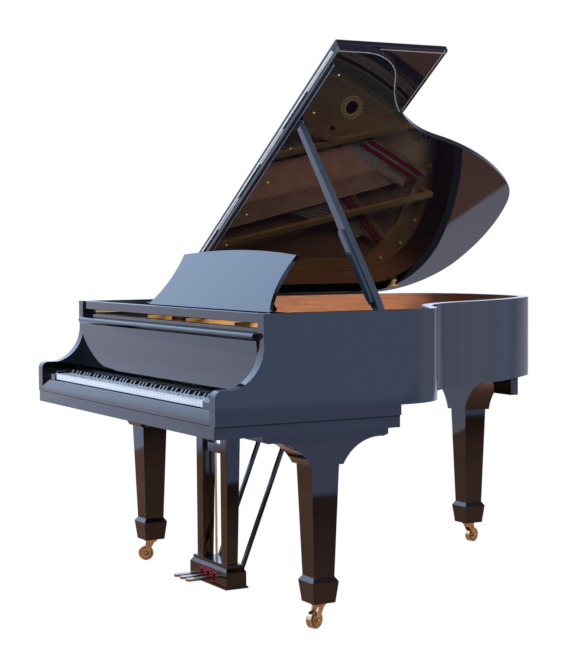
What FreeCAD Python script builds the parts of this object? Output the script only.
import FreeCAD, Part
import math
import os

# Grand piano with the lid propped open. Millimetres, +Z up.
# Drawn with X = 0 on the keyboard's centre, Y = 0 at the front of the keybed and Z = 0 on the floor,
# then moved back by half the length so that the origin stands under the middle of the piano.

V = FreeCAD.Vector

# Case
WIDTH = 1480.0
LENGTH = 1800.0
RIM_TOP = 998.0
RIM_BOTTOM = 699.0
RIM_THICK = 38.0
INNER_THICK = 42.0
GLUE = 0.3
KEYBED_BOTTOM = 627.0
KEYBED_TOP = 666.0
KEYBED_INSET = 8.0
KEYBED_DEPTH = 655.0
FRONT_Y = 165.0
ARM_FRONT_Z = 774.0
HALF = WIDTH / 2
INSIDE = HALF - RIM_THICK

# Plan of the bent side: turn (1 left, -1 right), radius, heading at the end of the arc.
# The S of the treble side starts where the straight side ends; S and tail are scaled to reach the length.
STRAIGHT = 684.0
TAIL_SHARE = 0.83932
S_BEND = [(1, 195.0, 158.0), (-1, 530.0, 107.0), (1, 1250.0, 130.0)]
TAIL_BEND = [(1, 295.0, 165.0), (1, 820.0, 195.0)]

# Inside
BELLY_Y = 520.0
BELLY_THICK = 40.0
SHELF_Z = 848.0
BOARD_THICK = 8.0
PLATE_Z = SHELF_Z + BOARD_THICK
PLATE_THICK = 12.0
PIN_FIELD = (216.0, 424.0)
STRING_Z = 892.0
BASS_Z = 908.0
STEEL_SIZE = 1.6
BASS_SIZE = 3.6
NOTES = 88
BASS_NOTES = 26
SECTION_ENDS = (50, 69)
WEB_NOTE = 48
WEB_WIDE = 36.0
DAMPED_NOTES = 68
DAMPER_Y = 494.0
PIN_SIDE = 6.0
PLATE_TOP = PLATE_Z + PLATE_THICK
FIELD_TOP = PLATE_TOP + 8.0
STRUT_Z = 940.0
WINDOW_FRONT = 438.0
# Round holes of the plate: share of the half width, share of the way from the bearing to the rim, radius
ROSETTES = [(0.0142, 0.694, 28.0), (-0.1125, 0.605, 11.0), (0.3, 0.72, 30.0), (0.855, 0.776, 26.0)]
SLIDE_GAP = 0.3

# Keys
BLOCK_X = INSIDE - 84.0
BLOCK_TOP = 744.0
WHITE_KEYS = 52
WHITE_PITCH = 2 * (BLOCK_X - 5.4) / WHITE_KEYS
KEY_GAP = 1.0
KEY_FRONT = 20.0
KEY_BACK = 480.0
KEY_TOP = 736.0
KEY_BOTTOM = 714.0
KEY_HEAD = 50.0
BLACK_WIDTH = 12.4
BLACK_TOP_WIDTH = 9.4
BLACK_LENGTH = 96.0
BLACK_RISE = 12.0
BALANCE_Y = 260.0
BALANCE_R = 2.0
HAMMER_Y = KEY_BACK - 146.0
HAMMER_Z = PLATE_Z - 57.0

# Fallboard
FALL_PIVOT = (174.0, 776.0)
FALL_TOP = 938.0
PIN_R = 4.0
RUN = 0.06

# Music desk
TRAY = (172.0, 500.0, 968.0, 978.0)
DESK_PIVOT = (339.0, 987.0)
DESK_LEAN = 34.7
DESK_THICK = 14.0
DESK_HALF = 470.0
DESK_WAIST = 58.0
DESK_CORNER = 47.0
DESK_HIGH = (218.0, 238.0)
STRUT_X = 250.0
STRUT_V = 120.0
STRUT_LENGTH = 108.0
STRUT_WIDE = 18.0
DESK_PIN_R = 3.0

# Lid
LID_OPEN = 33.9
LID_THICK = 22.0
LID_GAP = 2.0
LID_OVERHANG = 4.0
LID_FRONT = 585.0
FLAP_DEPTH = 434.0
HINGE_X = -HALF - 7.0
HINGE_Z = RIM_TOP + 1.0
FLAP_HINGE_R = 3.2
PROP_Y = 615.0
PROP_BASE = (INSIDE - 19.0, RIM_TOP - 13.0)
PROP_PLAN_X = 0.4878 * HALF
PROP_WIDTH = 24.0
PROP_DEPTH = 32.0
SHORT_PROP = (40.0, 330.0)

# Legs, casters and lyre
LEG_X = HALF - 100.0
LEG_Y = 407.0
REAR_LEG = (-0.4257 * HALF, LENGTH - 138.0)
LEG_HALF = 225.0
REAR_HALF = 248.0
LEG_TOP_Z = 520.0
LEG_FOOT_Z = 165.0
LEG_BOTTOM = 82.0
CASTER_R = 28.0
CASTER_TRAIL = 20.0
CASTER_WIDE = 20.0
STEM_R = 7.0
LEG_TAPER = (118.0, 74.0, 94.0, 78.0)
LEG_STEP = 20.0
CASTER_TURN = {"bass": -107.0, "treble": -73.0, "rear": 104.0}
LYRE_X = 93.0
LYRE_HALF = 142.0
LYRE_BOX = (335.0, 411.0, 33.0, 113.0)
PEDAL_PITCH = 46.0
PEDAL_X = (-PEDAL_PITCH, 0.0, PEDAL_PITCH)
PEDAL_WIDE = 28.0
PEDAL_TIP = 228.0
ROD_R = 4.0
PEDAL_PIVOT = (366.0, 62.0)
ROD_Y = 392.0


def box(x0, x1, y0, y1, z0, z1):
    return Part.makeBox(x1 - x0, y1 - y0, z1 - z0, V(x0, y0, z0))


def prism(points, axis, low, high):
    """A polygon drawn across one axis and drawn out along it."""
    way = {"x": V(1, 0, 0), "y": V(0, 1, 0), "z": V(0, 0, 1)}[axis]
    first = V(0, 1, 0) if axis == "x" else V(1, 0, 0)
    second = V(0, 1, 0) if axis == "z" else V(0, 0, 1)
    ring = [way * low + first * a + second * b for a, b in points]
    return Part.Face(Part.makePolygon(ring + ring[:1])).extrude(way * (high - low))


def rod(start, end, radius):
    way = end - start
    return Part.makeCylinder(radius, way.Length, start, way)


def bar(start, end, wide, high, side):
    """A straight bar of rectangular section between two points; side is the way its width runs."""
    along = (end - start).normalize()
    across = (side - along * side.dot(along)).normalize()
    up = along.cross(across)
    corners = [(-wide, -high), (wide, -high), (wide, high), (-wide, high)]
    ring = [start + across * (w / 2) + up * (h / 2) for w, h in corners]
    return Part.Face(Part.makePolygon(ring + ring[:1])).extrude(end - start)


def taper(levels):
    """A square post through (centre x, centre y, side x, side y, z) levels with flat sides."""
    rings = []
    for cx, cy, sx, sy, z in levels:
        ring = [V(cx + a * sx / 2, cy + b * sy / 2, z) for a, b in [(-1, -1), (1, -1), (1, 1), (-1, 1)]]
        rings.append(Part.makePolygon(ring + ring[:1]))
    return Part.makeLoft(rings, True, True)


def edges_prism(edges, way):
    return Part.Face(Part.Wire(edges)).extrude(way)


def line(a, b):
    return Part.makeLine(a, b)


def arc(a, b, c):
    return Part.Arc(a, b, c).toShape()


def save(name, shapes):
    shape = shapes if isinstance(shapes, Part.Shape) else Part.makeCompound(shapes)
    shape = shape.copy()
    shape.translate(V(0, -LENGTH / 2, 0))
    shape.exportStep("parts/%s.step" % name)


def turned(shape, centre, axis, degrees):
    shape = shape.copy()
    shape.rotate(centre, axis, degrees)
    return shape


# The case plan is a chain of tangent arcs from the treble side round to the bass side.
def sine(degrees):
    return math.sin(math.radians(degrees))


def cosine(degrees):
    return math.cos(math.radians(degrees))


def extent(bend, heading):
    """How far a chain of arcs goes to the bass side and to the tail, up to the tail's furthest point."""
    wide, deep = 0.0, 0.0
    for turn, radius, end in bend:
        wide += turn * radius * (sine(heading) - sine(end))
        deep += turn * radius * (cosine(heading) - cosine(min(end, 180.0)))
        heading = end
    return wide, deep


def bend_scales():
    """Scales of the S and the tail that fit the width and the length."""
    s_wide, s_deep = extent(S_BEND, 90.0)
    t_wide, t_deep = extent(TAIL_BEND, S_BEND[-1][2])
    wide = TAIL_SHARE * WIDTH
    deep = LENGTH - LID_OVERHANG - STRAIGHT
    det = s_wide * t_deep - t_wide * s_deep
    return (wide * t_deep - t_wide * deep) / det, (s_wide * deep - wide * s_deep) / det


def case_arcs():
    """Centre, turn, radius, first and last heading of each arc; the last one runs into the bass side."""
    x, y, heading = HALF, STRAIGHT, 90.0
    chain = []
    for scale, bend in zip(bend_scales(), (S_BEND, TAIL_BEND)):
        for turn, radius, end in bend:
            radius *= scale
            cx = x - turn * radius * sine(heading)
            cy = y + turn * radius * cosine(heading)
            chain.append((cx, cy, turn, radius, heading, end))
            x = cx + turn * radius * sine(end)
            y = cy - turn * radius * cosine(end)
            heading = end
    last = (x + HALF) / (1 + sine(heading))
    chain.append((x - last * sine(heading), y + last * cosine(heading), 1, last, heading, 270.0))
    return chain


ARCS = case_arcs()


def plan(offset, front, z):
    """Face of the case plan moved outward by an offset and cut square at the front."""

    def at(item, heading):
        cx, cy, turn, radius = item[:4]
        r = turn * (radius + turn * offset)
        return V(cx + r * sine(heading), cy - r * cosine(heading), z)

    first = V(HALF + offset, front, z)
    edges = [line(first, at(ARCS[0], 90.0))]
    for item in ARCS:
        begin, end = item[4:]
        edges.append(arc(at(item, begin), at(item, (begin + end) / 2), at(item, end)))
    last = V(-HALF - offset, front, z)
    edges.append(line(at(ARCS[-1], 270.0), last))
    edges.append(line(last, first))
    return Part.Face(Part.Wire(edges))


def rim_y(x, offset):
    """Y of the bent side at an X, moved outward by an offset; the plan never turns back in X."""
    for cx, cy, turn, radius, begin, end in ARCS:
        r = turn * (radius + turn * offset)
        low, high = sorted((cx + r * sine(begin), cx + r * sine(end)))
        if low <= x <= high:
            return cy + r * math.sqrt(max(0.0, 1 - ((x - cx) / r) ** 2))
    return STRAIGHT


def inside_point(share_x, share_y):
    """A point at a share of the half width, and of the way from the front bearing to the rim."""
    x = share_x * INSIDE
    bearing = PIN_FIELD[1] + 8
    return x, bearing + share_y * (rim_y(x, -RIM_THICK) - bearing)


def slab(offset, front, z0, z1):
    return plan(offset, front, z0).extrude(V(0, 0, z1 - z0))


# Outer rim with its scrolled arms
def outer_rim():
    rim = slab(0, 0, KEYBED_TOP, RIM_TOP).cut(slab(-RIM_THICK, -10, KEYBED_TOP - 1, RIM_TOP + 1))
    rim = rim.cut(box(-HALF - 5, HALF + 5, KEYBED_DEPTH, LENGTH + 5, KEYBED_TOP - 1, RIM_BOTTOM))
    x = -HALF - 5
    top = RIM_TOP + 5
    corner = [V(x, 0, ARM_FRONT_Z - 24), V(x, 6, ARM_FRONT_Z - 8), V(x, 24, ARM_FRONT_Z)]
    scroll = [V(x, 65, ARM_FRONT_Z), V(x, FRONT_Y - 30, ARM_FRONT_Z + 43), V(x, FRONT_Y, ARM_FRONT_Z + 150)]
    edges = [
        line(V(x, -10, ARM_FRONT_Z - 24), corner[0]),
        arc(*corner),
        line(corner[2], scroll[0]),
        arc(*scroll),
        line(scroll[2], V(x, FRONT_Y, top)),
        line(V(x, FRONT_Y, top), V(x, -10, top)),
        line(V(x, -10, top), V(x, -10, ARM_FRONT_Z - 24)),
    ]
    rim = rim.cut(edges_prism(edges, V(2 * HALF + 10, 0, 0)))
    reach = INSIDE + 14
    return rim.cut(rod(V(-reach, *FALL_PIVOT), V(reach, *FALL_PIVOT), PIN_R + RUN))


def inner_rim():
    front = BELLY_Y + BELLY_THICK
    ring = slab(-RIM_THICK - GLUE, front, RIM_BOTTOM, SHELF_Z)
    return ring.cut(slab(-RIM_THICK - INNER_THICK, front - 10, RIM_BOTTOM - 1, SHELF_Z + 1))


# Belly rail, braces that fan from it to the tail, and a block behind the rear leg
def case_beams():
    rail_y = BELLY_Y + BELLY_THICK
    top = SHELF_Z - 60
    middle = (RIM_BOTTOM + top) / 2
    inside = slab(-RIM_THICK - INNER_THICK - GLUE, rail_y, RIM_BOTTOM, top)
    beams = [box(-INSIDE, INSIDE, BELLY_Y, rail_y, KEYBED_TOP, SHELF_Z)]
    for front, tail in [(-0.67, -0.6), (-0.13, -0.43), (0.41, -0.24)]:
        start = V(INSIDE * front, rail_y - 40, middle)
        end = V(INSIDE * tail, LENGTH, middle)
        beam = bar(start, end, 56, top - RIM_BOTTOM, V(1, 0, 0))
        beams.append(beam.common(inside).Solids[0])
    back = REAR_LEG[1] + LEG_TAPER[0] / 2
    beams.append(box(-0.61 * INSIDE, -0.157 * INSIDE, back, back + 34, RIM_BOTTOM - 92, RIM_BOTTOM))
    return beams


def soundboard():
    return slab(-RIM_THICK - GLUE, BELLY_Y, SHELF_Z, PLATE_Z)


def soundboard_ribs():
    inside = slab(-RIM_THICK - INNER_THICK - GLUE, BELLY_Y + BELLY_THICK, SHELF_Z - 20, SHELF_Z)
    ribs = []
    step = (LENGTH - BELLY_Y - 374) / 8
    reach = V(INSIDE, 0.6 * INSIDE, 0)
    for i in range(9):
        middle = V(INSIDE * (0.47 - 0.107 * i), BELLY_Y + 120 + step * i, SHELF_Z - 10)
        rib = bar(middle - reach, middle + reach, 24, 20, V(0, 1, 0))
        ribs.append(rib.common(inside).Solids[0])
    return ribs


# Each string runs from its pin past the front bearing to its hitch; bass strings cross above the others.
def string_course(note):
    """Pin, front bearing and hitch of a note's string, note 0 being the lowest."""
    row = PIN_FIELD[0] + 30 + 46 * (note % 4)
    bearing = PIN_FIELD[1] + 8
    if note < BASS_NOTES:
        t = note / (BASS_NOTES - 1.0)
        front = V(INSIDE * (0.35 * t - 0.84), bearing, BASS_Z)
        hitch = V(*inside_point(0.2 * t - 0.356, 0.95 - 0.2 * t), BASS_Z)
    else:
        t = (note - BASS_NOTES) / (NOTES - BASS_NOTES - 1.0)
        breaks = sum(note > b for b in SECTION_ENDS)
        front = V(INSIDE * (0.01866 * (note - BASS_NOTES) - 0.356 + 0.0427 * breaks), bearing, STRING_Z)
        depth = 0.8715 - 0.7263 * t + 0.2095 * t ** 2
        hitch = V(INSIDE * (1.68 * t - 0.798 + 0.0114 * breaks), LENGTH * depth, STRING_Z)
    return V(front.x, row, front.z), front, hitch


def strip(points, width, z0, z1):
    """A band of constant width along a bent line in plan, drawn up from z0 to z1."""
    left, right = [], []
    for i, p in enumerate(points):
        before = points[max(i - 1, 0)]
        after = points[min(i + 1, len(points) - 1)]
        along = V(after.x - before.x, after.y - before.y, 0).normalize()
        across = V(-along.y, along.x, 0) * (width / 2)
        left.append((p.x + across.x, p.y + across.y))
        right.append((p.x - across.x, p.y - across.y))
    return prism(left + right[::-1], "z", z0, z1)


def strings(notes, size):
    made = []
    for note in notes:
        pin, front, hitch = string_course(note)
        start = V(pin.x, pin.y + PIN_SIDE / 2, pin.z)
        made.append(strip([start, front, hitch], size, front.z - size / 2, front.z + size / 2))
    return made


def tuning_pins():
    pins = []
    for note in range(NOTES):
        pin = string_course(note)[0]
        reach = PIN_SIDE / 2
        pins.append(box(pin.x - reach, pin.x + reach, pin.y - reach, pin.y + reach, FIELD_TOP, pin.z + 14))
    return pins


def bridge_point(note):
    _, front, hitch = string_course(note)
    return front + (hitch - front) * (0.9 - 0.12 * (note / (NOTES - 1.0)))


def bridges():
    """Bass and long bridge, each a bent band under the strings it carries, inside the plate's window."""
    made = []
    window = plate_window(PLATE_Z, BASS_Z)
    bass = (range(BASS_NOTES), BASS_Z - BASS_SIZE / 2)
    steel = (range(BASS_NOTES, NOTES), STRING_Z - STEEL_SIZE / 2)
    for notes, under in (bass, steel):
        points = [bridge_point(n) for n in notes[::6]] + [bridge_point(notes[-1])]
        points.insert(0, points[0] + (points[0] - points[1]).normalize() * 24)
        points.append(points[-1] + (points[-1] - points[-2]).normalize() * 24)
        band = strip(points, 30, PLATE_Z, under - 0.3).common(window)
        made.append(max(band.Solids, key=lambda solid: solid.Volume))
    return made


# Cast plate: one casting with a window over the soundboard, a raised pin field, struts and round holes
def plate_window(z0, z1):
    treble = [string_course(n) for n in [*range(NOTES - 1, WEB_NOTE, -7), WEB_NOTE]]
    bass = [string_course(n) for n in (BASS_NOTES - 1, BASS_NOTES // 2, 0)]
    ring = [(-0.94 * INSIDE, WINDOW_FRONT), (0.947 * INSIDE, WINDOW_FRONT)]
    for _, front, hitch in treble + bass:
        stop = hitch - (hitch - front).normalize() * 8
        ring.append((stop.x, stop.y))
    ring += [inside_point(-0.712, 0.908), inside_point(-0.919, 0.891)]
    return prism(ring, "z", z0, z1)


def plate_strut(start, end):
    """A bar above the strings with a foot on the plate at each end."""
    along = (end - start).normalize()
    feet = []
    for point, way in ((start, 26), (end, -26)):
        feet.append(strip([point, point + along * way], 16, PLATE_TOP - 2, STRUT_Z))
    return strip([start, end], 20, STRUT_Z - 22, STRUT_Z).fuse(feet)


def strut_ends():
    field = PIN_FIELD[1] - 18
    ends = [
        (V(-0.912 * INSIDE, field, 0), V(*inside_point(-0.47, 0.97), 0)),
        (V(-0.44 * INSIDE, field, 0), V(*inside_point(-0.014, 0.965), 0)),
    ]
    for note in SECTION_ENDS:
        _, low_front, low_hitch = string_course(note)
        _, high_front, high_hitch = string_course(note + 1)
        front = (low_front + high_front) * 0.5
        hitch = (low_hitch + high_hitch) * 0.5
        way = (hitch - front).normalize()
        ends.append((front - way * 26, hitch + way * 0.05 * LENGTH))
    return [(V(a.x, a.y, 0), V(b.x, b.y, 0)) for a, b in ends]


def plate_web():
    """Band across the window that takes the hitches of the lowest steel strings."""
    points = [string_course(n)[2] for n in range(BASS_NOTES, WEB_NOTE + 3, 3)]
    points.insert(0, points[0] + (points[0] - points[1]).normalize() * WEB_WIDE)
    return strip(points, WEB_WIDE, PLATE_Z, PLATE_TOP)


def iron_plate():
    plate = slab(-RIM_THICK - 2, PIN_FIELD[0], PLATE_Z, PLATE_TOP)
    web = plate_web().common(plate)
    field = box(-INSIDE + 2, INSIDE - 2, PIN_FIELD[0], PIN_FIELD[1], PLATE_TOP - 2, FIELD_TOP)
    plate = plate.fuse(field).cut(plate_window(PLATE_Z - 1, FIELD_TOP + 1))
    plate = plate.fuse([plate_strut(a, b) for a, b in strut_ends()] + [web])
    for share_x, share_y, radius in ROSETTES:
        low = V(*inside_point(share_x, share_y), PLATE_Z - 1)
        plate = plate.cut(rod(low, V(low.x, low.y, FIELD_TOP + 1), radius))
    return plate


def pin_block():
    return box(-INSIDE, INSIDE, PIN_FIELD[0] + 6, PIN_FIELD[1] - 4, PLATE_Z - 34, PLATE_Z)


# Dampers rest on the strings and rise together
def dampers():
    made = []
    for note in range(DAMPED_NOTES):
        _, front, hitch = string_course(note)
        way = (hitch - front).normalize()
        x = front.x + way.x / way.y * (DAMPER_Y - front.y)
        size = BASS_SIZE if note < BASS_NOTES else STEEL_SIZE
        foot = front.z + size / 2 + 0.3
        wedge = [(x - 3.6, foot), (x + 3.6, foot), (x + 3.6, foot + 26), (x - 3.6, foot + 26)]
        made.append(prism(wedge, "y", DAMPER_Y - 19, DAMPER_Y + 19))
    return made


# Action: key frame, rails and hammers shift together
def balance_rail(half, low):
    """Rail with a round bead that the keys rock on."""
    rail = box(-half, half, BALANCE_Y - 12, BALANCE_Y + 12, low, KEY_BOTTOM - 0.8)
    return rail.fuse(rod(V(-half, BALANCE_Y, KEY_BOTTOM), V(half, BALANCE_Y, KEY_BOTTOM), BALANCE_R))


def key_groove(x0, x1):
    """Half-round hollow under a key, where it sits on the bead."""
    return rod(V(x0 - 1, BALANCE_Y, KEY_BOTTOM), V(x1 + 1, BALANCE_Y, KEY_BOTTOM), BALANCE_R + RUN)


def action_frame():
    low = KEYBED_TOP + SLIDE_GAP
    deck = KEY_BOTTOM - 14
    rear = KEY_BACK - 40
    y, z = HAMMER_Y, HAMMER_Z
    bracket = [(rear, deck), (rear + 36, deck), (rear + 36, deck + 30), (y + 16, z + 13), (y, z + 13),
               (y, z - 7), (y + 11, z - 7)]
    ends = []
    for s in (-1, 1):
        rail_x = s * (BLOCK_X - 12)
        ends.append(box(rail_x - 6, rail_x + 6, KEY_FRONT + 60, rear, low, deck - 10))
        bracket_x = s * (BLOCK_X + 10)
        ends.append(prism(bracket, "x", bracket_x - 6, bracket_x + 6))
    inner = BLOCK_X - 6
    outer = BLOCK_X + 22
    rails = [
        box(-inner, inner, KEY_FRONT + 10, KEY_FRONT + 60, low, deck),
        balance_rail(inner - 12, low),
        box(-outer, outer, rear, rear + 38, low, deck),
        box(-inner, inner, rear + 6, rear + 32, deck, KEY_BOTTOM - 0.6),
        box(-outer, outer, y - 16, y, z - 9, z + 15),
    ]
    return ends + rails


def hammers():
    y, z = HAMMER_Y, HAMMER_Z
    side = [(y, z), (y + 110, z), (y + 110, z - 9), (y + 132, z - 9), (y + 134, z + 33), (y + 121, z + 47),
            (y + 108, z + 33), (y + 110, z + 7), (y, z + 7)]
    made = []
    for note in range(NOTES):
        x = string_course(note)[1].x
        made.append(prism(side, "x", x - 4, x + 4))
    return made


# Keys: the lowest key is an A, so the pattern of an octave is counted from A
OCTAVE = ["a", "a_sharp", "b", "c", "c_sharp", "d", "d_sharp", "e", "f", "f_sharp", "g", "g_sharp"]
SHARP_SHIFT = {"a_sharp": 2.2, "c_sharp": -2.6, "d_sharp": 2.6, "f_sharp": -3.2, "g_sharp": 0.0}


def key_places():
    """Name and left edge, or centre for a sharp, of each of the keys from the bass up."""
    places = []
    white = 0
    for number in range(NOTES):
        name = OCTAVE[number % 12]
        left = (white - WHITE_KEYS / 2.0) * WHITE_PITCH
        if name in SHARP_SHIFT:
            places.append((name, left + SHARP_SHIFT[name]))
        else:
            places.append((name, left))
            white += 1
    return places


def white_key(left, before, after):
    """A white key narrowed behind its head by the sharps beside it."""
    x0, x1 = left + KEY_GAP / 2, left + WHITE_PITCH - KEY_GAP / 2
    clear = BLACK_WIDTH / 2 + KEY_GAP
    t0 = x0 if before is None else before + clear
    t1 = x1 if after is None else after - clear
    head = KEY_FRONT + KEY_HEAD
    ring = [(x0, KEY_FRONT), (x1, KEY_FRONT), (x1, head)]
    ring += [(t1, head)] if after is not None else []
    ring += [(t1, KEY_BACK), (t0, KEY_BACK)]
    ring += [(t0, head)] if before is not None else []
    ring += [(x0, head)]
    body = prism(ring, "z", KEY_BOTTOM, KEY_TOP)
    lip = KEY_TOP - 2.5
    recess = box(x0 - 1, x1 + 1, KEY_FRONT - 1, KEY_FRONT + 2, KEY_BOTTOM - 1, lip)
    return body.cut([recess, key_groove(x0, x1)])


def black_key(middle):
    """A sharp: a stick with a raised, tapered top that slopes at the front."""
    start = KEY_FRONT + KEY_HEAD + KEY_GAP
    half = BLACK_WIDTH / 2
    top = BLACK_TOP_WIDTH / 2
    stick = box(middle - half, middle + half, start, KEY_BACK, KEY_BOTTOM, KEY_TOP)
    z1 = KEY_TOP + BLACK_RISE
    end = start + BLACK_LENGTH
    rings = []
    for reach, front, z in ((half, start, KEY_TOP), (top, start + 9, z1)):
        corners = [(-reach, front), (reach, front), (reach, end), (-reach, end)]
        ring = [V(middle + x, y, z) for x, y in corners]
        rings.append(Part.makePolygon(ring + ring[:1]))
    raised = Part.makeLoft(rings, True, True)
    return stick.fuse(raised).removeSplitter().cut(key_groove(middle - half, middle + half))


def keys():
    places = key_places()
    groups = {name: [] for name in OCTAVE}
    for i, (name, x) in enumerate(places):
        if name in SHARP_SHIFT:
            groups[name].append(black_key(x))
            continue
        before = places[i - 1] if i else None
        after = places[i + 1] if i + 1 < len(places) else None
        near = [p[1] if p and p[0] in SHARP_SHIFT else None for p in (before, after)]
        groups[name].append(white_key(x, *near))
    return groups


def key_blocks():
    side = [(18, KEYBED_TOP), (160, KEYBED_TOP), (160, BLOCK_TOP), (30, BLOCK_TOP), (18, BLOCK_TOP - 12)]
    return [prism(side, "x", BLOCK_X, INSIDE), prism(side, "x", -INSIDE, -BLOCK_X)]


def keyslip():
    """The rail in front of the keys; its upper half leans back."""
    top = KEY_BOTTOM - 2
    side = [(0, KEYBED_TOP), (18, KEYBED_TOP), (18, top - 2), (14, top), (0, top - 28)]
    return prism(side, "x", -INSIDE, INSIDE)


def keybed():
    bed = box(-HALF + KEYBED_INSET, HALF - KEYBED_INSET, 0, KEYBED_DEPTH, KEYBED_BOTTOM, KEYBED_TOP)
    holes = []
    for x in PEDAL_X:
        holes.append(rod(V(x, ROD_Y, KEYBED_BOTTOM - 1), V(x, ROD_Y, KEYBED_BOTTOM + 24), ROD_R + 0.4))
    return bed.cut(holes)


# Fallboard: an upright board with a rounded lip, on two pins
def fallboard():
    y0, y1 = FALL_PIVOT[0] - 14, FALL_PIVOT[0] + 4
    x = -INSIDE + 1.5
    low = FALL_PIVOT[1] - 20
    lip = FALL_TOP - 20
    edges = [
        line(V(x, y0 - 4, low), V(x, y1 - 6, low)),
        line(V(x, y1 - 6, low), V(x, y1, low + 14)),
        line(V(x, y1, low + 14), V(x, y1, FALL_TOP)),
        line(V(x, y1, FALL_TOP), V(x, y0 - 4, FALL_TOP)),
        arc(V(x, y0 - 4, FALL_TOP), V(x, y0 - 14, FALL_TOP - 10), V(x, y0 - 4, lip)),
        line(V(x, y0 - 4, lip), V(x, y0, lip - 4)),
        arc(V(x, y0, lip - 4), V(x, y0 + 4, (lip + low) / 2), V(x, y0 - 4, low)),
    ]
    board = edges_prism(edges, V(2 * INSIDE - 3, 0, 0))
    reach = INSIDE + 12
    return board.fuse(rod(V(-reach, *FALL_PIVOT), V(reach, *FALL_PIVOT), PIN_R))


def stretcher():
    y = FALL_PIVOT[0] + 12
    return box(-INSIDE, INSIDE, y, y + 22, FALL_TOP - 38, FALL_TOP + 14)


# Music desk on its sliding tray
def tray_rails():
    y0, y1, z0, _ = TRAY
    top = z0 - SLIDE_GAP
    start = FALL_PIVOT[0] + 38
    edges = [(-INSIDE, -INSIDE + 16), (INSIDE - 16, INSIDE)]
    return [box(x0, x1, start, y1 + 70, top - 14, top) for x0, x1 in edges]


def music_tray():
    y0, y1, z0, z1 = TRAY
    reach = INSIDE - 2
    tray = box(-reach, reach, y0, y1, z0, z1).fuse(box(-reach, reach, y0, y0 + 16, z0, RIM_TOP))
    for s in (-1, 1):
        slot = STRUT_WIDE / 2 + 9
        tray = tray.cut(box(s * STRUT_X - slot, s * STRUT_X + slot, y0 + 170, y0 + 304, z0 - 1, z1 + 1))
        x0, x1 = sorted((s * (DESK_HALF + 40), s * (reach - 24)))
        tray = tray.cut(box(x0, x1, y0 + 40, y1 - 24, z0 - 1, z1 + 1))
        x0, x1 = sorted((s * (DESK_HALF + SLIDE_GAP), s * (DESK_HALF + 16)))
        tray = tray.fuse(box(x0, x1, DESK_PIVOT[0] - 8, DESK_PIVOT[0] + 8, z0, DESK_PIVOT[1] + 8))
    reach = DESK_HALF + 20
    return tray.cut(rod(V(-reach, *DESK_PIVOT), V(reach, *DESK_PIVOT), DESK_PIN_R + RUN))


def desk_place(shape):
    """Turns a piece drawn on the upright desk plane back to the desk's lean."""
    return turned(shape, V(0, *DESK_PIVOT), V(1, 0, 0), -DESK_LEAN)


def music_desk():
    y, z = DESK_PIVOT
    y0 = y - DESK_THICK / 2
    wide = DESK_HALF
    waist = DESK_HALF - DESK_WAIST
    top = DESK_HALF - DESK_CORNER
    corner, crown = DESK_HIGH
    foot = z - 2
    edges = [
        line(V(-wide, y0, foot), V(wide, y0, foot)),
        arc(V(wide, y0, foot), V(waist, y0, z + corner / 2), V(top, y0, z + corner)),
        arc(V(top, y0, z + corner), V(0, y0, z + crown), V(-top, y0, z + corner)),
        arc(V(-top, y0, z + corner), V(-waist, y0, z + corner / 2), V(-wide, y0, foot)),
    ]
    panel = edges_prism(edges, V(0, DESK_THICK, 0))
    pivots = []
    for s in (-1, 1):
        pivots.append(rod(V(s * (wide - 20), y, z), V(s * (wide + 14), y, z), DESK_PIN_R))
        for side in (-1, 1):
            x = s * STRUT_X + side * (STRUT_WIDE / 2 + 2.5 + SLIDE_GAP)
            ear_y = y0 + DESK_THICK - 1
            ear_z = z + STRUT_V
            pivots.append(box(x - 2.5, x + 2.5, ear_y, y + strut_back() + 5, ear_z - 8, ear_z + 8))
        reach = STRUT_WIDE / 2 + 4
        hinge = V(s * STRUT_X, y + strut_back(), z + STRUT_V)
        pivots.append(rod(hinge - V(reach, 0, 0), hinge + V(reach, 0, 0), DESK_PIN_R - 0.5))
    return desk_place(panel.fuse(pivots))


def strut_back():
    """Distance of the struts' hinge behind the middle of the desk's thickness."""
    return DESK_THICK / 2 + 7


def strut_pivot():
    """Place of the struts' hinge behind the leaning desk, as Y and Z."""
    lean = math.radians(DESK_LEAN)
    back = strut_back()
    y = DESK_PIVOT[0] + STRUT_V * math.sin(lean) + back * math.cos(lean)
    z = DESK_PIVOT[1] + STRUT_V * math.cos(lean) - back * math.sin(lean)
    return y, z


def desk_struts():
    y, z = strut_pivot()
    drop = z - TRAY[3] - 6
    foot = V(0, y + math.sqrt(STRUT_LENGTH ** 2 - drop ** 2), z - drop)
    made = []
    for s in (-1, 1):
        shift = V(s * STRUT_X, 0, 0)
        way = (foot - V(0, y, z)).normalize()
        strut = bar(V(0, y, z) + shift - way * 4, foot + shift, STRUT_WIDE, 8, V(1, 0, 0))
        hinge = V(0, y, z) + shift
        made.append(strut.cut(rod(hinge - V(20, 0, 0), hinge + V(20, 0, 0), DESK_PIN_R - 0.5 + RUN)))
    return made


# The lid is drawn shut, then raised with everything on it
def raised(shape):
    return turned(shape, V(HINGE_X, 0, HINGE_Z), V(0, -1, 0), LID_OPEN)


LID_Z = RIM_TOP + LID_GAP


def lid():
    panel = slab(LID_OVERHANG, LID_FRONT, LID_Z, LID_Z + LID_THICK)
    return raised(panel.cut(box(-HALF - 50, -HALF, 0, LENGTH + 50, LID_Z - 1, LID_Z + LID_THICK + 1)))


def lid_flap():
    z = LID_Z + LID_THICK + 1
    panel = box(-HALF, HALF + LID_OVERHANG, LID_FRONT, LID_FRONT + FLAP_DEPTH, z, z + LID_THICK)
    return raised(panel)


def hinge_places():
    first = LID_FRONT + 135
    last = ARCS[-1][1] - 60
    return [first, (first + last) / 2, last]


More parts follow.
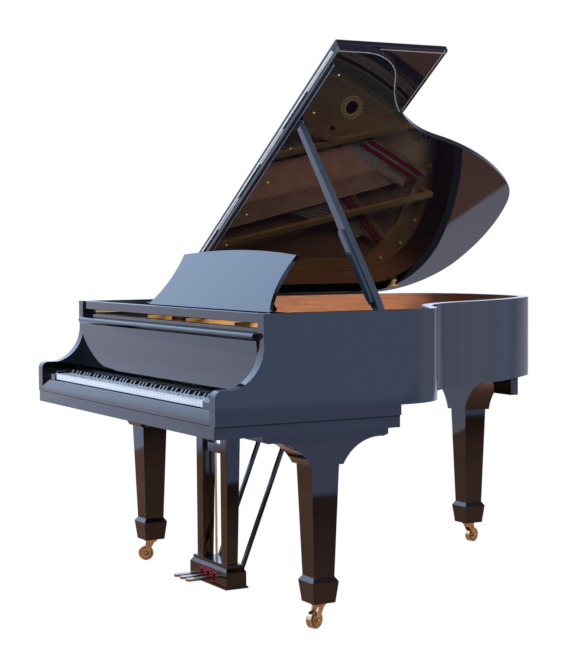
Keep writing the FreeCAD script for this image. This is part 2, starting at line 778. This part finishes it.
def lid_hinges_case():
    made = []
    for y in hinge_places():
        leaf = box(-HALF - 3, -HALF, y - 40, y + 40, RIM_TOP - 42, RIM_TOP - 6)
        neck = box(-HALF - 5, -HALF, y - 15, y + 15, RIM_TOP - 8, RIM_TOP)
        barrel = rod(V(HINGE_X, y - 15, HINGE_Z), V(HINGE_X, y + 15, HINGE_Z), 5)
        bore = rod(V(HINGE_X, y - 20, HINGE_Z), V(HINGE_X, y + 20, HINGE_Z), 2.5 + RUN)
        made.append(leaf.fuse([neck, barrel]).cut(bore))
    return made


def lid_hinges_lid():
    made = []
    for y in hinge_places():
        leaf = box(-HALF - 3, -HALF, y - 40, y + 40, LID_Z + 6, LID_Z + LID_THICK - 1)
        pieces = [rod(V(HINGE_X, y - 40, HINGE_Z), V(HINGE_X, y + 40, HINGE_Z), 2.5)]
        for s in (-1, 1):
            y0, y1 = sorted((y + s * 15.5, y + s * 40))
            pieces.append(rod(V(HINGE_X, y0, HINGE_Z), V(HINGE_X, y1, HINGE_Z), 5))
            pieces.append(box(-HALF - 5, -HALF, y0, y1, LID_Z + 0.5, LID_Z + 8))
        made.append(raised(leaf.fuse(pieces)))
    return made


# Long hinge between lid and flap, in seven knuckles that belong by turns to the lid and the flap
FLAP_HINGE = (LID_FRONT - 3.5, LID_Z + LID_THICK + 0.5)


def flap_hinge(odd):
    y, z = FLAP_HINGE
    ends = [-HALF + 30 + (2 * HALF - 60) * i / 7.0 for i in range(8)]
    pieces = []
    for i in range(7):
        if (i % 2 == 1) != odd:
            continue
        x0, x1 = ends[i] + 0.4, ends[i + 1] - 0.4
        barrel = rod(V(x0, y, z), V(x1, y, z), FLAP_HINGE_R)
        side = (z + 0.5, z + 7) if odd else (z - 7, z - 0.5)
        leaf = box(x0, x1, LID_FRONT - 2, LID_FRONT, *side)
        neck = box(x0, x1, LID_FRONT - 3, LID_FRONT - 0.5, z - 1.5, z + 1.5)
        knuckle = barrel.fuse([leaf, neck])
        if odd:
            knuckle = knuckle.cut(rod(V(x0 - 1, y, z), V(x1 + 1, y, z), 1.5 + RUN))
        pieces.append(knuckle)
    if not odd:
        pin = rod(V(ends[0] + 1, y, z), V(ends[-1] - 1, y, z), 1.5)
        pieces = [pieces[0].fuse(pieces[1:] + [pin])]
    return [raised(p) for p in pieces]


# Prop: a tapered stick from the treble rim to the underside of the lid
def prop_tip():
    shut = V(PROP_PLAN_X, PROP_Y, LID_Z - 0.6)
    spread = shut - V(HINGE_X, PROP_Y, HINGE_Z)
    a = math.radians(LID_OPEN)
    x = HINGE_X + spread.x * math.cos(a) - spread.z * math.sin(a)
    z = HINGE_Z + spread.x * math.sin(a) + spread.z * math.cos(a)
    return V(x, PROP_Y, z)


def prop_frame():
    """Base, tip, and unit vectors along the prop and across it in its plane."""
    base = V(PROP_BASE[0], PROP_Y, PROP_BASE[1])
    tip = prop_tip()
    along = (tip - base).normalize()
    return base, tip, along, V(along.z, 0, -along.x)


def prop_piece(outline, y0, y1):
    """A flat piece drawn as distances along and across the prop."""
    base, _, along, across = prop_frame()
    ring = [base + along * a + across * b for a, b in outline]
    ring = [V(p.x, y0, p.z) for p in ring]
    return Part.Face(Part.makePolygon(ring + ring[:1])).extrude(V(0, y1 - y0, 0))


def lid_prop():
    base, tip, along, across = prop_frame()
    length = (tip - base).Length
    half = PROP_DEPTH / 2
    y0, y1 = PROP_Y - PROP_WIDTH / 2, PROP_Y + PROP_WIDTH / 2
    belly = length * 0.45
    outline = [(0, -12), (0, 12), (40, half), (belly, half), (length - 8, 11), (length, 4), (length, -4),
               (length - 8, -11), (belly, -half), (40, -half)]
    stick = prop_piece(outline, y0, y1)
    end = rod(V(base.x, y0, base.z), V(base.x, y1, base.z), 12)
    bore = rod(V(base.x, y0 - 1, base.z), V(base.x, y1 + 1, base.z), PIN_R + RUN)
    return stick.fuse(end).cut([bore, short_axle(PIN_R - 1 + RUN)])


def short_axle(radius):
    base, _, along, _ = prop_frame()
    at = base + along * SHORT_PROP[1]
    y = PROP_Y - PROP_WIDTH / 2
    return rod(V(at.x, y - 2, at.z), V(at.x, y + 12, at.z), radius)


def short_prop():
    low, pivot = SHORT_PROP
    y1 = PROP_Y - PROP_WIDTH / 2 - SLIDE_GAP
    outline = [(low, -7), (low, 7), (low + 30, 11), (pivot, 11), (pivot + 12, 5), (pivot + 12, -5),
               (pivot, -11), (low + 30, -11)]
    return prop_piece(outline, y1 - 12, y1).fuse(short_axle(PIN_R - 1))


def prop_bracket():
    x, z = PROP_BASE
    plate = box(INSIDE - 4, INSIDE, PROP_Y - 34, PROP_Y + 34, z - 48, z + 8)
    ears = []
    for s in (-1, 1):
        y0, y1 = sorted((PROP_Y + s * (PROP_WIDTH / 2 + SLIDE_GAP), PROP_Y + s * (PROP_WIDTH / 2 + 5)))
        ears.append(box(x - 10, INSIDE - 2, y0, y1, z - 14, z + 8))
    pin = rod(V(x, PROP_Y - PROP_WIDTH / 2 - 5, z), V(x, PROP_Y + PROP_WIDTH / 2 + 5, z), PIN_R)
    return plate.fuse(ears + [pin])


# Legs: square tapered posts with a spade foot below and a scrolled bracket above
def leg_bracket(half, neck_half, neck_z, top):
    """Outline of a bracket across X = 0, from its ledges down two hollow curves to its neck."""
    shelf_z = top - 28
    ring = [line(V(0, neck_half, neck_z), V(0, -neck_half, neck_z))]
    ring.append(line(V(0, -half, top), V(0, half, top)))
    for side in (1, -1):
        under = V(0, side * half, shelf_z + 6)
        ledge = V(0, side * (half - 18), shelf_z)
        neck = V(0, side * neck_half, neck_z)
        reach = half - 18 - neck_half
        middle = V(0, side * (neck_half + reach * 0.36), neck_z + (shelf_z - neck_z) * 0.72)
        ring += [line(V(0, side * half, top), under), line(under, ledge), arc(ledge, middle, neck)]
    return Part.Face(Part.Wire(Part.__sortEdges__(ring)))


def leg(cx, cy, top, bracket_half, bracket_z, turn):
    wide, ankle, foot_top, foot_end = LEG_TAPER
    head = wide - LEG_STEP
    post = taper([(0, 0, ankle, ankle, LEG_FOOT_Z), (0, 0, head, head, bracket_z)])
    foot = taper([(0, 0, ankle, ankle, LEG_FOOT_Z), (0, 0, foot_top, foot_top, LEG_FOOT_Z - 15),
                  (0, 0, foot_end, foot_end, LEG_BOTTOM)])
    bracket = leg_bracket(bracket_half, wide / 2, bracket_z, top).extrude(V(wide, 0, 0))
    bracket.translate(V(-wide / 2, 0, 0))
    body = post.fuse([foot, bracket]).removeSplitter()
    body = body.cut(rod(V(0, 0, LEG_BOTTOM - 1), V(0, 0, LEG_BOTTOM + 46), STEM_R + RUN))
    return placed(body, cx, cy, turn)


def leg_places():
    return {"bass": (-LEG_X, LEG_Y), "treble": (LEG_X, LEG_Y), "rear": REAR_LEG}


def legs():
    made = []
    for name, (x, y) in leg_places().items():
        if name == "rear":
            made.append(leg(x, y, RIM_BOTTOM, REAR_HALF, LEG_TOP_Z + 20, 90.0))
        else:
            made.append(leg(x, y, KEYBED_BOTTOM, LEG_HALF, LEG_TOP_Z, 0.0))
    return made


def caster_fork(x, y, angle):
    z1 = LEG_BOTTOM - 0.5
    back = CASTER_TRAIL
    half = CASTER_WIDE / 2 + SLIDE_GAP
    cheek = [(-14, z1 - 8), (14, z1 - 8), (back + 9, CASTER_R + 4), (back + 9, CASTER_R - 8),
             (back - 9, CASTER_R - 8), (back - 9, CASTER_R + 4)]
    pieces = [prism(cheek, "y", y0, y0 + 5) for y0 in (-half - 5, half)]
    pieces.append(Part.makeCylinder(23, 10, V(0, 0, z1 - 10)))
    pieces.append(Part.makeCylinder(STEM_R, 44, V(0, 0, z1 - 1)))
    pieces.append(rod(V(back, -half - 2, CASTER_R), V(back, half + 2, CASTER_R), PIN_R))
    return placed(pieces[0].fuse(pieces[1:]), x, y, angle)


def caster_wheel(x, y, angle):
    half = CASTER_WIDE / 2
    wheel = rod(V(CASTER_TRAIL, -half, CASTER_R), V(CASTER_TRAIL, half, CASTER_R), CASTER_R)
    bore = rod(V(CASTER_TRAIL, -half - 1, CASTER_R), V(CASTER_TRAIL, half + 1, CASTER_R), PIN_R + RUN)
    return placed(wheel.cut(bore), x, y, angle)


def placed(shape, x, y, angle):
    shape = turned(shape, V(0, 0, 0), V(0, 0, 1), angle)
    shape.translate(V(x, y, 0))
    return shape


# Lyre with pedals and rods
def lyre_box():
    """Pedal box with a hollow for each pedal, a sloped cap under the posts and a thin foot."""
    y0, y1, z0, z1 = LYRE_BOX
    middle = (y0 + y1) / 2
    wide, deep = 2 * LYRE_HALF, y1 - y0
    cap = taper([(0, middle, wide, deep, z1 - 24), (0, middle, wide - 24, deep - 14, z1 - 10)])
    head = box(12 - LYRE_HALF, LYRE_HALF - 12, y0 + 7, y1 - 7, z1 - 10, z1)
    foot = box(-LYRE_HALF - 5, LYRE_HALF + 5, y0 - 5, y1 + 5, z0, z0 + 7)
    body = box(-LYRE_HALF, LYRE_HALF, y0, y1, z0, z1 - 24).fuse([cap, head, foot]).removeSplitter()
    for x in PEDAL_X:
        slot = PEDAL_WIDE / 2 + 4
        body = body.cut(box(x - slot, x + slot, y0 - 6, y1 - 6, z0 + 8, z1 - 26))
        body = body.cut(rod(V(x - 23, *PEDAL_PIVOT), V(x + 23, *PEDAL_PIVOT), PIN_R - 1 + RUN))
        body = body.cut(rod(V(x, ROD_Y, z1 - 30), V(x, ROD_Y, z1 + 1), ROD_R + 0.4))
    return body


def lyre_posts():
    """Two posts that widen towards the keybed, and the bar between them."""
    y = LYRE_BOX[0] + 37
    made = []
    for x in (-LYRE_X, LYRE_X):
        made.append(taper([(x, y, 48, 40, LYRE_BOX[3]), (x, y + 7, 52, 54, KEYBED_BOTTOM)]))
    inner = LYRE_X - 25.5
    made.append(box(-inner, inner, y - 10, y + 10, KEYBED_BOTTOM - 139, KEYBED_BOTTOM - 107))
    return made


def lyre_braces():
    low = V(0, LYRE_BOX[1] + 7, LYRE_BOX[3] - 30)
    high = V(0, KEYBED_DEPTH - 18, KEYBED_BOTTOM)
    made = []
    for s in (-1, 1):
        shift = V(s * 90, 0, 0)
        stick = bar(low + shift, high + shift + (high - low).normalize() * 30, 14, 14, V(1, 0, 0))
        foot = box(s * 90 - 7, s * 90 + 7, LYRE_BOX[1], LYRE_BOX[1] + 14, low.z - 14, low.z + 14)
        stick = stick.fuse(foot).cut(box(-200, 200, 300, 900, KEYBED_BOTTOM, KEYBED_TOP + 90))
        made.append(stick.removeSplitter())
    return made


def pedal(x):
    y, z = PEDAL_PIVOT
    half = PEDAL_WIDE / 2
    tip = PEDAL_TIP
    lever = box(x - 8, x + 8, tip + 60, ROD_Y + 8, z - 5, z + 5)
    reach = [(-8, 90), (-half, 40), (-half, half), (0, 0), (half, half), (half, 40), (8, 90)]
    toe = [V(x + a, tip + b, z - 4) for a, b in reach]
    edges = [line(toe[0], toe[1]), line(toe[1], toe[2]), arc(toe[2], toe[3], toe[4])]
    edges += [line(toe[4], toe[5]), line(toe[5], toe[6]), line(toe[6], toe[0])]
    plate = edges_prism(edges, V(0, 0, 8))
    pin = rod(V(x - half - 8, y, z), V(x + half + 8, y, z), PIN_R - 1)
    return lever.fuse([plate, pin])


def pedal_rod(x):
    return rod(V(x, ROD_Y, PEDAL_PIVOT[1] + 5 + SLIDE_GAP), V(x, ROD_Y, KEYBED_BOTTOM + 18), ROD_R)


os.makedirs("parts", exist_ok=True)
save("outer_rim", outer_rim())
save("inner_rim", inner_rim())
save("case_beams", case_beams())
save("soundboard", soundboard())
save("soundboard_ribs", soundboard_ribs())
save("bridges", bridges())
save("iron_plate", iron_plate())
save("pin_block", pin_block())
save("tuning_pins", tuning_pins())
save("bass_strings", strings(range(BASS_NOTES), BASS_SIZE))
save("steel_strings", strings(range(BASS_NOTES, NOTES), STEEL_SIZE))
save("dampers", dampers())
save("action_frame", action_frame())
save("hammers", hammers())
for key_name, key_group in keys().items():
    save("keys_" + key_name, key_group)
save("key_blocks", key_blocks())
save("keyslip", keyslip())
save("keybed", keybed())
save("fallboard", fallboard())
save("stretcher", stretcher())
save("tray_rails", tray_rails())
save("music_tray", music_tray())
save("music_desk", music_desk())
save("desk_struts", desk_struts())
save("lid", lid())
save("lid_flap", lid_flap())
save("lid_hinges_case", lid_hinges_case())
save("lid_hinges_lid", lid_hinges_lid())
save("flap_hinge_lid", flap_hinge(False))
save("flap_hinge_flap", flap_hinge(True))
save("lid_prop", lid_prop())
save("short_prop", short_prop())
save("prop_bracket", prop_bracket())
save("legs", legs())
for leg_name, (leg_x, leg_y) in leg_places().items():
    save("caster_fork_" + leg_name, caster_fork(leg_x, leg_y, CASTER_TURN[leg_name]))
    save("caster_wheel_" + leg_name, caster_wheel(leg_x, leg_y, CASTER_TURN[leg_name]))
save("lyre_box", lyre_box())
save("lyre_posts", lyre_posts())
save("lyre_braces", lyre_braces())
for pedal_name, pedal_x in zip(("soft", "sostenuto", "damper"), PEDAL_X):
    save("pedal_" + pedal_name, pedal(pedal_x))
    save("pedal_rod_" + pedal_name, pedal_rod(pedal_x))
